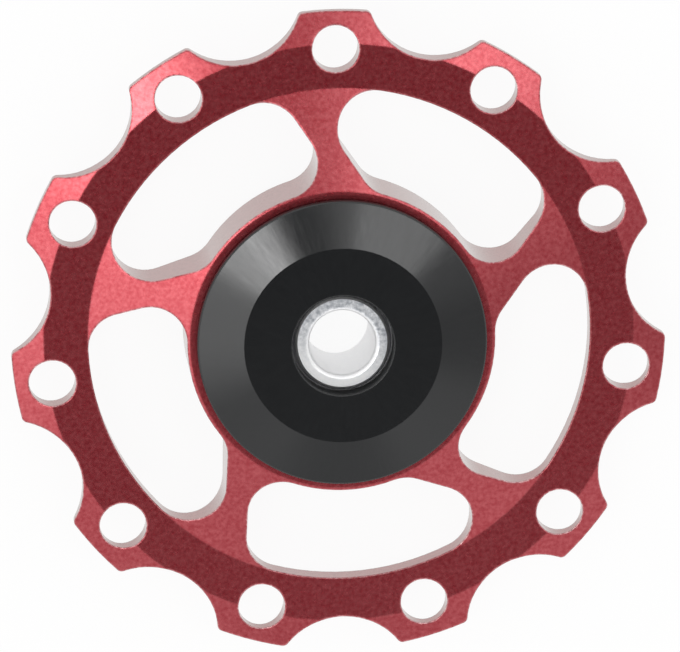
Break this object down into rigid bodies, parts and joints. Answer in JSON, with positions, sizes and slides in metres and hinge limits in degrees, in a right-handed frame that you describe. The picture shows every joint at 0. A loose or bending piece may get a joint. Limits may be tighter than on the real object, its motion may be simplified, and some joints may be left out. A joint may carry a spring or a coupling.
{
  "type": "derailleur jockey wheel",
  "caption": "Toothed aluminium chain guide wheel with swept spokes and drilled teeth, turning on a sealed ball bearing between two dust covers and an axle sleeve.",
  "frame": {"origin": "on the wheel's axis, at the mid-plane of its teeth", "axes": "+Z along the axis, out of the front cover; +Y through the middle of one tooth"},
  "size_m": [0.042, 0.0416, 0.008],
  "materials": {
    "red_aluminium": "satin red anodised",
    "black_aluminium": "turned, black anodised",
    "bright_aluminium": "turned, bare",
    "bearing_steel": "ground and polished",
    "cage_plastic": "moulded",
    "seal_rubber": "matt"
  },
  "bodies": {
    "core": {"axle_sleeve": "bright_aluminium", "bearing_inner_ring": "bearing_steel", "front_dust_cover": "black_aluminium", "rear_dust_cover": "black_aluminium"},
    "wheel": {"toothed_wheel": "red_aluminium", "bearing_outer_ring": "bearing_steel", "front_seal": "seal_rubber", "rear_seal": "seal_rubber"},
    "ball_set": {"ball_cage": "cage_plastic", "ball_1": "bearing_steel", "ball_2": "bearing_steel", "ball_3": "bearing_steel", "ball_4": "bearing_steel", "ball_5": "bearing_steel", "ball_6": "bearing_steel", "ball_7": "bearing_steel", "ball_8": "bearing_steel"}
  },
  "joints": [
    {"name": "wheel_spin", "type": "hinge", "parent": "core", "child": "wheel", "pos_m": [0, 0, 0], "axis": [0, 0, 1], "continuous": true},
    {"name": "cage_spin", "type": "hinge", "parent": "core", "child": "ball_set", "pos_m": [0, 0, 0], "axis": [0, 0, 1], "continuous": true}
  ],
  "couplings": [
    {"joint": "cage_spin", "follows": "wheel_spin", "ratio": 0.6134}
  ]
}
